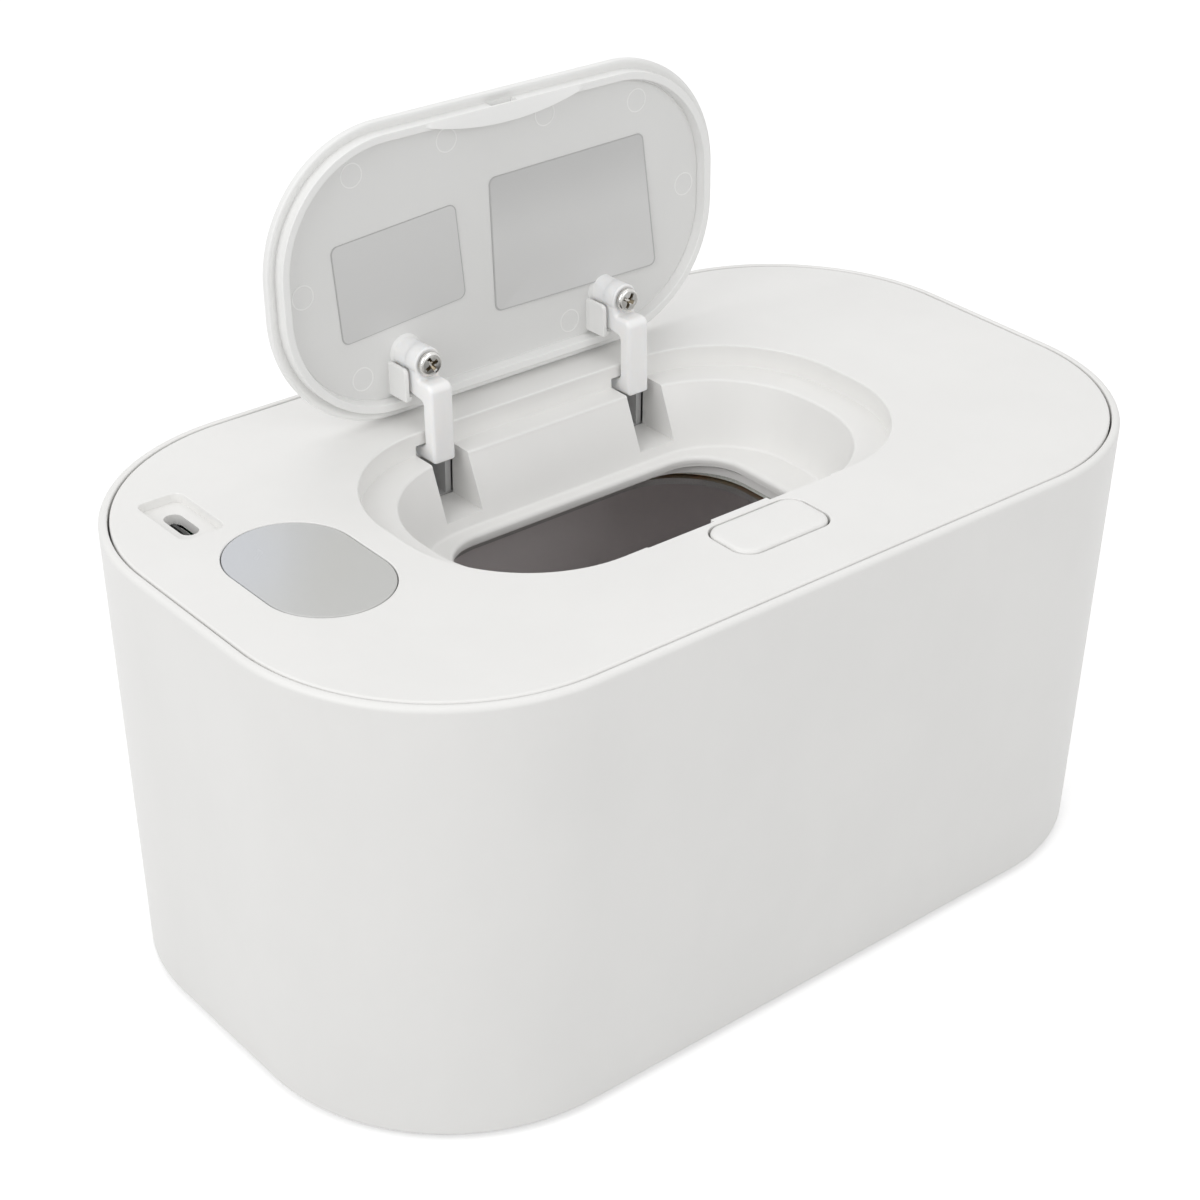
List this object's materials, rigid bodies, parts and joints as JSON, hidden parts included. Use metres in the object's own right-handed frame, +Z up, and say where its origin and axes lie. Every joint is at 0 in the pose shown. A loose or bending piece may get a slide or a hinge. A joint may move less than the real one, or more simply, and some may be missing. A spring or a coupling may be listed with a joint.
{
  "type": "baby wipe warmer",
  "caption": "Rounded tub with an inner tank and a lift-off heated cover, with a sprung hinged lid over a dispensing opening, a release button, a display window and a USB inlet.",
  "frame": {"origin": "centre of the footprint, on the surface that the feet stand on", "axes": "+X to the right along the long side, with the display and the USB inlet at the -X end; +Y to the back, where the lid is hinged; +Z up"},
  "size_m": [0.2124, 0.1272, 0.1633],
  "materials": {
    "white_plastic": "white ABS with a fine satin texture",
    "lid_plastic": "white ABS, smooth satin",
    "arm_nylon": "white nylon, slightly glossy",
    "tank_plastic": "pale warm grey plastic",
    "bracket_plastic": "light grey plastic",
    "lens_plastic": "grey smoked window, satin",
    "rubber": "matt black rubber",
    "silicone": "translucent grey silicone",
    "foam": "pale closed-cell foam sheet",
    "heating_film": "amber polyimide film",
    "aluminium": "plain rolled sheet",
    "steel": "bright nickel-plated steel",
    "circuit_board": "green solder mask",
    "black_plastic": "matt black plastic"
  },
  "bodies": {
    "body": {"outer_shell": "white_plastic", "inner_tank": "tank_plastic", "base_screw_1": "steel", "base_screw_2": "steel", "base_screw_3": "steel", "base_screw_4": "steel", "foot_front_left": "rubber", "foot_front_right": "rubber", "foot_rear_left": "rubber", "foot_rear_right": "rubber"},
    "cover": {"top_cover": "white_plastic", "cover_base": "white_plastic", "cover_seal": "silicone", "cover_screw_1": "steel", "cover_screw_2": "steel", "cover_screw_3": "steel", "cover_screw_4": "steel", "cover_screw_5": "steel", "cover_screw_6": "steel", "insulation_pad": "foam", "heating_film": "heating_film", "heater_plate": "aluminium", "heater_screw_1": "steel", "heater_screw_2": "steel", "heater_screw_3": "steel", "heater_screw_4": "steel", "temperature_sensor": "black_plastic", "display_lens": "lens_plastic", "display_module": "white_plastic", "control_board": "circuit_board", "control_chip": "black_plastic", "board_screw_1": "steel", "board_screw_2": "steel", "board_screw_3": "steel", "usb_shell": "steel", "usb_tongue": "black_plastic", "hinge_bracket_left": "bracket_plastic", "hinge_bracket_right": "bracket_plastic", "bracket_screw_1": "steel", "bracket_screw_2": "steel", "bracket_screw_3": "steel", "bracket_screw_4": "steel", "hinge_pin_left": "steel", "hinge_pin_right": "steel", "torsion_spring_left": "steel", "torsion_spring_right": "steel", "latch_spring": "steel"},
    "lid": {"lid_shell": "lid_plastic", "hinge_arm_left": "arm_nylon", "hinge_arm_right": "arm_nylon", "lid_screw_1": "steel", "lid_screw_2": "steel"},
    "button": {"push_button": "white_plastic"},
    "latch": {"latch_slide": "white_plastic"}
  },
  "joints": [
    {"name": "cover_lift", "type": "slide", "parent": "body", "child": "cover", "axis": [0, 0, 1], "range_m": [0, 0.06]},
    {"name": "lid_hinge", "type": "hinge", "parent": "cover", "child": "lid", "pos_m": [0, 0.0376, 0.0944], "axis": [1, 0, 0], "range_deg": [0, 92], "stiffness_Nm_per_rad": 0.007, "springref_deg": -28.65},
    {"name": "button_press", "type": "slide", "parent": "cover", "child": "button", "axis": [0, 0, -1], "range_m": [0, 0.0012], "stiffness_N_per_m": 400, "springref_m": -0.001},
    {"name": "latch_draw", "type": "slide", "parent": "cover", "child": "latch", "axis": [0, -1, 0], "range_m": [0, 0.0012], "stiffness_N_per_m": 400, "springref_m": -0.001, "deforming": ["latch_spring"]}
  ],
  "couplings": [
    {"joint": "latch_draw", "follows": "button_press", "ratio": 1}
  ]
}
